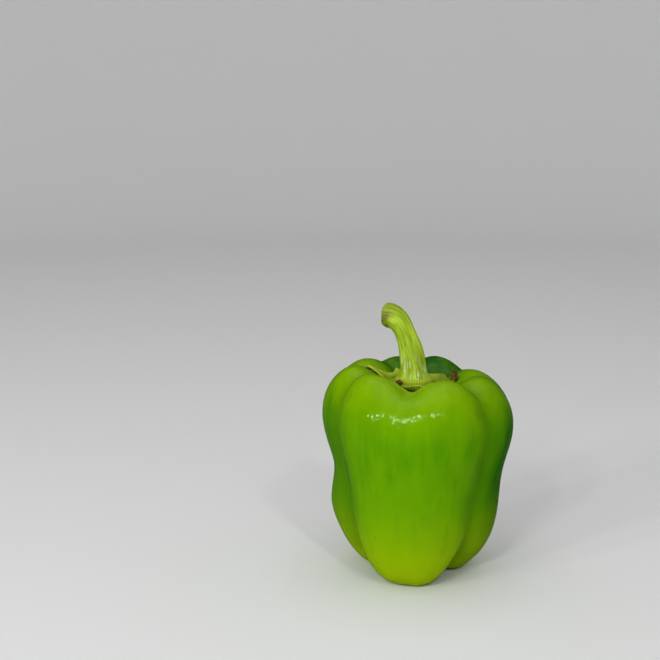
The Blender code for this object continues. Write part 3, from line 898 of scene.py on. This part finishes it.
# %% Dry tips of the sepals
# name, azimuth, reach from the calyx's own centre, height over the skin, and size across, deep and high
DRY_TIPS = (
    ("dry_tip_right", 11, 18.5 * MM, 2.7 * MM, (3.0 * MM, 2.6 * MM, 4.6 * MM)),
    ("dry_tip_front", -127, 10.6 * MM, 2.7 * MM, (2.7 * MM, 2.2 * MM, 2.3 * MM)),
    ("dry_tip_left", 169, 20.6 * MM, 0.9 * MM, (2.6 * MM, 1.6 * MM, 1.6 * MM)),
)
CRUMPLE = 0.6                # depth of the folds as a share of the tip's size
CRUMPLE_NOISE = (0.8, 2.0, 3)    # how fast the finer folds fade, how much finer each is, how many sizes


def build_dry_tip(name, azimuth, reach, above, size):
    work = bmesh.new()
    bmesh.ops.create_icosphere(work, subdivisions=5, radius=0.5)
    foot = CALYX_CENTRE + reach * direction(azimuth)
    foot.z = seat_height(foot.x, foot.y) + above
    for vertex in work.verts:
        out = Vector([c * s for c, s in zip(vertex.co, size)])
        fold = noise.fractal((foot + out) / CRUMPLE_SIZE, *CRUMPLE_NOISE)
        vertex.co = foot + out * (1 + CRUMPLE * fold)
    return finish_piece(name, work)


for dry_tip in DRY_TIPS:
    tip_piece = build_dry_tip(*dry_tip)
    tip_piece.data.materials.append(papery_brown)

# %% [markdown]
# The line of the stem
#
# The stem is widest where it grows out of the calyx, and it bends over to the place where it was cut. A
# curve object with a bevel could follow the bend, but not the turning ribs or the rounded cut end. So it
# is a ball again, drawn out along a centreline: each ring of the ball gets a place, a heading and a radius
# here, and the rings near the poles round off both ends.

# %% Stations of the stem
STEM_LINE = np.array((
    # x,        y,        z,         radius as a share of half the neck's thickness
    (-1.4 * MM, 0.5 * MM, 88.4 * MM, 1.62),
    (-1.6 * MM, 0.5 * MM, 91.5 * MM, 1.32),
    (-2.1 * MM, 0.6 * MM, 97.3 * MM, 1.18),
    (-3.1 * MM, 0.9 * MM, 103.3 * MM, 1.08),
    (-5.4 * MM, 1.4 * MM, 109.7 * MM, 0.96),
    (-8.2 * MM, 2.0 * MM, 114.5 * MM, 1.04),
    (-11.5 * MM, 2.8 * MM, 116.6 * MM, 1.15),
    (-14.8 * MM, 3.9 * MM, 116.9 * MM, 1.14),
))
STEM_PLACES, STEM_SHARES = STEM_LINE[:, :3], STEM_LINE[:, 3]
STEM_LENGTH = float(np.linalg.norm(np.diff(STEM_PLACES, axis=0), axis=1).sum())
STEM_KNOTS = shares_of_length(STEM_PLACES)
STEM_EDGES = (0.7 * MM, 2.0 * MM)    # lengths over which the base and the cut end are rounded
EDGE_POWER = 0.4             # the smaller, the squarer the rounded edges
STEM_SQUARE = 0.12           # share of the length over which the base turns level
CAP_SHARE = 0.2              # share of the rings that each rounded end takes
HEADING_STEP = 0.001         # share of the length to either side, to see which way the line goes


def stem_station(share):
    """Where a latitude of the stem lies: share of the length, middle, direction and radius."""
    base, end = (edge / STEM_LENGTH for edge in STEM_EDGES)
    corner = math.radians(90 * min(1.0, min(share, 1 - share) / CAP_SHARE))
    inset = 1 - max(0.0, math.cos(corner))**EDGE_POWER
    if share < CAP_SHARE:
        along = base * inset
    elif share > 1 - CAP_SHARE:
        along = 1 - end * inset
    else:
        along = base + (share - CAP_SHARE) / (1 - 2 * CAP_SHARE) * (1 - base - end)
    wide = float(spline(STEM_KNOTS, STEM_SHARES, [along])[0]) * STEM_THICKNESS / 2
    before, middle, after = spline(
        STEM_KNOTS, STEM_PLACES, [along - HEADING_STEP, along, along + HEADING_STEP])
    ahead = Vector(after - before).normalized()
    square = ease(1 - along / STEM_SQUARE)
    ahead = (ahead * (1 - square) + Vector((0, 0, 1)) * square).normalized()
    return along, Vector(middle), ahead, wide * max(0.0, math.sin(corner))**EDGE_POWER


print("the stem's line is", round(STEM_LENGTH / MM, 1), "mm long,",
      "and halfway it is", round(2 * stem_station(0.5)[3] / MM, 1), "mm thick")

# %% [markdown]
# The stem
#
# A pepper's stem has five blunt ribs that turn a little on their way up, and fine ridges between them
# that its fibres make. The ribs could be separate strands. They are one skin on the plant, so both are
# waves on the radius. The bark's pattern must follow the bend, so every vertex also remembers where it
# would be on a straight stem.

# %% Build the stem
STEM_SIDES, STEM_RINGS = 180, 260
STEM_RIBS = 5
STEM_RIB_DEPTH = 0.055       # as a share of the radius
STEM_TWIST = 50              # degrees that the ribs turn from end to end
STRIAE = 34                  # fine lengthwise ridges round the stem
STRIA_HEIGHT = 0.10 * MM
STRIA_WANDER = 2.5           # radians that they wander off their straight course
CUT_STARTS = 0.83            # share of the length where the bark begins to dry out
CUT_RUN = 0.10625            # share of the length over which it does
BARK_LENGTH = 5 * MM         # of the stem in its pattern: so short that the pattern is drawn out


def stria(turn, along):
    """Height of the fine ridges there, as a share of STRIA_HEIGHT, from -1 to 1."""
    wander = STRIA_WANDER * noise.noise(Vector((math.cos(turn), math.sin(turn), 4 * along)))
    strength = noise.noise(Vector((3 * math.cos(turn), 3 * math.sin(turn), 6 * along)))
    return math.sin(STRIAE * turn + wander) * strength


def build_stem():
    work = bmesh.new()
    bark_layer = work.verts.layers.float_vector.new("bark")
    cut_layer = work.verts.layers.float.new("cut")
    station = functools.lru_cache(maxsize=None)(stem_station)
    for azimuth, column in ball_columns(work, STEM_SIDES, STEM_RINGS).items():
        turn = math.radians(azimuth)
        for share, vertex in column:
            along, middle, ahead, radius = station(share)
            first = Vector((0, 1, 0)).cross(ahead).normalized()
            second = ahead.cross(first)
            rib = STEM_RIB_DEPTH * math.cos(STEM_RIBS * (turn + math.radians(STEM_TWIST) * along))
            spread = radius * (1 + rib) * (first * math.cos(turn) + second * math.sin(turn))
            if CAP_SHARE < share < 1 - CAP_SHARE:
                spread += STRIA_HEIGHT * stria(turn, along) * spread.normalized()
            vertex.co = middle + spread
            straight = STEM_THICKNESS / 2 * direction(azimuth)
            vertex[bark_layer] = straight + Vector((0, 0, along * BARK_LENGTH))
            vertex[cut_layer] = ease((along - CUT_STARTS) / CUT_RUN)
    return finish_piece("stem_cut", work, "stem")


stem_piece = build_stem()

# %% [markdown]
# Fibrous stem, its bark
#
# The stem is woody tissue under a thin green bark: pale yellow-green with lighter streaks along it and dark
# cracks where it bends. Low down it has whitish spots of painted highlight, for the sparkles of its ridges.
# It is smoother than the calyx (roughness 0.3), so its ridges sparkle. Noise on Object coordinates would
# cut straight through the bend, so the streaks, cracks and painted highlights read the straightened place
# that the vertices remember.

# %% Fibrous stem, its bark
BARK_STREAK = 1.2 * MM
BARK_GREENS = ((0.34, "#8AA814"), (0.66, "#B8D43A"))
CRACK = 0.8 * MM
CRACKED_FROM = 100 * MM      # height: the cracks lie on the bent upper half
CRACKED_RUN = 4 * MM
SPARKLE_SPOT = 0.9 * MM
SPARKLE_HEIGHTS = (91 * MM, 103 * MM)    # heights: painted highlight in full at the first, none at the second

fibrous_stem, tree, shader = new_material(
    "fibrous_stem", Roughness=0.3, IOR=1.45, Metallic=0.0, Specular_IOR_Level=0.5,
    Specular_Tint="#E6F2C8")
place = add(tree, "TexCoord").outputs["Object"]
height = add(tree, "SeparateXYZ", {0: place}).outputs["Z"]
bark = add(tree, "Attribute", attribute_name="bark", attribute_type="GEOMETRY").outputs["Vector"]
streaks = add(tree, "TexNoise", {"Vector": bark, "Scale": 1 / BARK_STREAK, "Detail": 3.0})
streaked = add(tree, "ValToRGB", {0: streaks}, BARK_GREENS)
# Only the narrow peaks of a noise are left as cracks.
cracks = add(tree, "TexNoise", {"Vector": bark, "Scale": 1 / CRACK, "Detail": 2.0, "Distortion": 0.6})
thin = add(tree, "MapRange", {0: cracks, 1: 0.62, 2: 0.70, 3: 0.0, 4: 0.85})
upper = add(tree, "MapRange", {
    0: height, 1: CRACKED_FROM, 2: CRACKED_FROM + CRACKED_RUN, 3: 0.15, 4: 1.0})
shown = add(tree, "Math", {0: thin, 1: upper}, operation="MULTIPLY")
cracked = add(tree, "Mix", {0: shown, 6: streaked, 7: "#5F6410"}, data_type="RGBA")
# painted highlight: whitish spots low on the stem stand for sparkles
sparkle_noise = add(tree, "TexNoise", {"Vector": bark, "Scale": 1 / SPARKLE_SPOT, "Detail": 3.0})
sparkle_spots = add(tree, "MapRange", {0: sparkle_noise, 1: 0.54, 2: 0.60, 3: 0.0, 4: 0.85})
sparkle_low_down = add(tree, "MapRange", {0: height, 1: SPARKLE_HEIGHTS[0], 2: SPARKLE_HEIGHTS[1], 3: 1.0, 4: 0.0})
painted_sparkle = add(tree, "Math", {0: sparkle_low_down, 1: sparkle_spots}, operation="MULTIPLY")
with_painted_sparkle = add(tree, "Mix", {0: painted_sparkle, 6: cracked, 7: "#E8F4CC"}, data_type="RGBA")
print("the stem's shader has", len(tree.nodes), "nodes so far")

# %% [markdown]
# Fibrous stem, its cut end
#
# Where the stem was cut it has dried to an olive brown, most of all underneath, in patches. A second
# material with a sharp border would look painted on. The vertices know how near the cut they are, so a
# noise and the height thin that out, and the brown fades back along the bark.

# %% Fibrous stem, its cut end
STAIN = 2.5 * MM
DRY_BELOW = (116 * MM, 121 * MM)    # heights of the cut end's lower and upper edge
FINE_GRAIN = 1.0 * MM

cut = add(tree, "Attribute", attribute_name="cut")
patchy = add(tree, "TexNoise", {"Vector": place, "Scale": 1 / STAIN, "Detail": 3.0})
stain = add(tree, "MapRange", {0: patchy, 1: 0.35, 2: 0.6, 3: 0.6, 4: 1.0})
under = add(tree, "MapRange", {0: height, 1: DRY_BELOW[0], 2: DRY_BELOW[1], 3: 1.0, 4: 0.3})
damp = add(tree, "Math", {0: stain, 1: under}, operation="MULTIPLY")
dried = add(tree, "Math", {0: cut.outputs["Fac"], 1: damp}, operation="MULTIPLY")
corky = add(tree, "Mix", {0: dried, 6: with_painted_sparkle, 7: "#5E5604"}, data_type="RGBA")
fine = add(tree, "TexNoise", {"Vector": place, "Scale": 1 / FINE_GRAIN, "Detail": 3.0})
bump = add(tree, "Bump", {"Strength": 0.8, "Distance": 0.3 * MM, "Height": fine})
fill(tree, shader, {"Base Color": corky, "Normal": bump})

stem_piece.data.materials.append(fibrous_stem)
print("the stem's shader has", len(tree.nodes), "nodes")

# %% [markdown]
# A plain pale studio
#
# The pepper stands on matt paper that curves up all round it, so that no horizon shows. Four walls and a
# floor would do for one view, but every side of the pepper is to be looked at. So the paper starts as a
# flat disc, and its edge is extruded outwards and upwards, step by step, through a quarter of a circle and
# then straight up as the wall.

# %% Floor and backdrop
PAPER_RADIUS = 1.7
PAPER_BEND = 0.6             # radius of the bend between floor and wall
PAPER_HEIGHT = 1.0           # of the wall above the bend
PAPER_SIDES = 128
BEND_STEPS = 16


def backdrop_profile():
    """Radius and height of each ring, from the edge of the flat disc to the top of the wall."""
    flat = PAPER_RADIUS - PAPER_BEND
    yield flat, 0.0
    for step in range(1, BEND_STEPS + 1):
        corner = math.radians(90 * step / BEND_STEPS)
        yield flat + PAPER_BEND * math.sin(corner), PAPER_BEND * (1 - math.cos(corner))
    yield PAPER_RADIUS, PAPER_BEND + PAPER_HEIGHT


def build_backdrop(name, share, lift, material):
    """The backdrop with every radius times share, lifted off the table."""
    work = bmesh.new()
    (radius, height), *rings = backdrop_profile()
    bmesh.ops.create_circle(work, cap_ends=True, segments=PAPER_SIDES, radius=radius)
    edge = [e for e in work.edges if e.is_boundary]
    for wider, higher in rings:
        drawn = set(bmesh.ops.extrude_edge_only(work, edges=edge)["geom"])
        corners = [v for v in drawn if isinstance(v, bmesh.types.BMVert)]
        bmesh.ops.scale(work, vec=(wider / radius, wider / radius, 1), verts=corners)
        bmesh.ops.translate(work, vec=(0, 0, higher - height), verts=corners)
        edge = [e for e in drawn if isinstance(e, bmesh.types.BMEdge) and drawn.issuperset(e.verts)]
        radius, height = wider, higher
    bmesh.ops.scale(work, vec=(share, share, 1), verts=work.verts)
    bmesh.ops.translate(work, vec=(0, 0, lift), verts=work.verts)
    backdrop = new_object(name, work)
    backdrop.data.materials.append(material)
    print(name, "is", round(2 * max(v.co.x for v in backdrop.data.vertices), 2), "m across")
    return backdrop


def plain_card(name, hex_code):
    """Matt card: even in colour, with no gloss to speak of."""
    return new_material(name, Base_Color=hex_code, Roughness=0.9, Metallic=0.0)[0]


build_backdrop("studio_floor", 1.0, 0.0, plain_card("matt_paper", "#F2F2F2"))

# %% [markdown]
# A dish for the reflections
#
# A wet-looking skin mirrors the pale paper along every edge, which greys its green. A photographer takes
# that off with a polarising filter, or puts dark cards round the fruit. Here a dark green dish stands just
# inside the paper, and only glossy rays see it, so the paper itself stays pale.

# %% Dish that only reflections see
DISH_SHARE = 0.98            # of the paper's radius
DISH_LIFT = 0.3 * MM         # just off the paper

dish = build_backdrop("reflection_dish", DISH_SHARE, DISH_LIFT, plain_card("dark_green_card", "#4A6A28"))
for kind_of_ray in ("camera", "diffuse", "shadow", "transmission"):
    setattr(dish, "visible_" + kind_of_ray, False)

# %% [markdown]
# Soft light
#
# The real highlight is a row of broken sparkles along the front shoulder, as small lamps or window panes
# make on a wavy skin. One large light would draw one smooth streak. So five small upright lamps make the
# sparkles, and a wide, low strip of weaker light joins them up, above the camera. A large weak panel
# overhead lights the floor, and a dim grey world fills the shadows without washing out the green.

# %% Lights
AIM = Vector((0, 0, 60 * MM))
LIGHT_DISTANCE = 1.2
LAMPS = ((-50, 19), (-40, 22), (-21, 28), (-14, 32), (19, 38))    # azimuth and elevation of each


def softbox(name, azimuth, elevation, width, height, radiance):
    """An area light that faces the pepper. azimuth is 0 on the camera's side and grows to the right."""
    light = bpy.data.lights.new(name, "AREA")
    light.shape = "RECTANGLE"
    light.size, light.size_y = width, height
    light.energy = radiance * math.pi * width * height
    lamp = bpy.data.objects.new(name, light)
    bpy.context.scene.collection.objects.link(lamp)
    a, e = math.radians(azimuth), math.radians(elevation)
    from_aim = Vector((math.sin(a) * math.cos(e), -math.cos(a) * math.cos(e), math.sin(e)))
    lamp.location = AIM + LIGHT_DISTANCE * from_aim
    lamp.rotation_euler = (AIM - lamp.location).to_track_quat("-Z", "Y").to_euler()
    print(name, "gives", round(light.energy, 2), "W")


softbox("strip_window", azimuth=-4, elevation=38, width=1.4, height=0.08, radiance=4.8)
for number, (azimuth, elevation) in enumerate(LAMPS):
    softbox(f"lamp_{number}", azimuth, elevation, width=0.055, height=0.10, radiance=76.0)
softbox("overhead_panel", azimuth=0, elevation=89, width=1.0, height=1.0, radiance=0.75)
world = bpy.data.worlds.new("dim_room")
bpy.context.scene.world = world
world.use_nodes = True
fill(world.node_tree, world.node_tree.nodes["Background"], {"Color": "#E6E6E6", "Strength": 0.40})
bpy.context.scene.view_settings.view_transform = "Standard"

# %% [markdown]
# The camera
#
# The pepper was seen from 17.5 degrees above the horizontal, right of the middle and below the centre of
# the picture. The camera's place and angles could be tried until the view fits. It is simpler to say where
# one point of the pepper is seen: the camera stands where the pepper is seen at the right angle, and aims
# at the point that ends up in the middle of a picture of 660 by 660 pixels.

# %% Camera
PICTURE = 660                # pixels on each side
PIXELS_PER_METRE = 2200      # of the pepper in the picture
SUBJECT = AXIS + Vector((0, 0, 49.1 * MM))
SUBJECT_PIXEL = (418, 463)   # where the subject point is seen
CAMERA_AWAY = 0.6
CAMERA_ABOVE = math.radians(17.5)
SENSOR = 36.0                # mm

view = Vector((0, math.cos(CAMERA_ABOVE), -math.sin(CAMERA_ABOVE)))
sideways = Vector((1, 0, 0))
upwards = sideways.cross(view)
lens = bpy.data.cameras.new("camera")
lens.sensor_width = SENSOR
lens.lens = PIXELS_PER_METRE * CAMERA_AWAY * SENSOR / PICTURE
camera = bpy.data.objects.new("camera", lens)
bpy.context.scene.collection.objects.link(camera)
camera.location = SUBJECT - view * CAMERA_AWAY
aim = SUBJECT - sideways * (SUBJECT_PIXEL[0] - PICTURE / 2) / PIXELS_PER_METRE
aim += upwards * (SUBJECT_PIXEL[1] - PICTURE / 2) / PIXELS_PER_METRE
camera.rotation_euler = (aim - camera.location).to_track_quat("-Z", "Y").to_euler()
bpy.context.scene.camera = camera
print("camera at", [round(c, 3) for c in camera.location], "with a lens of", round(lens.lens, 1), "mm")
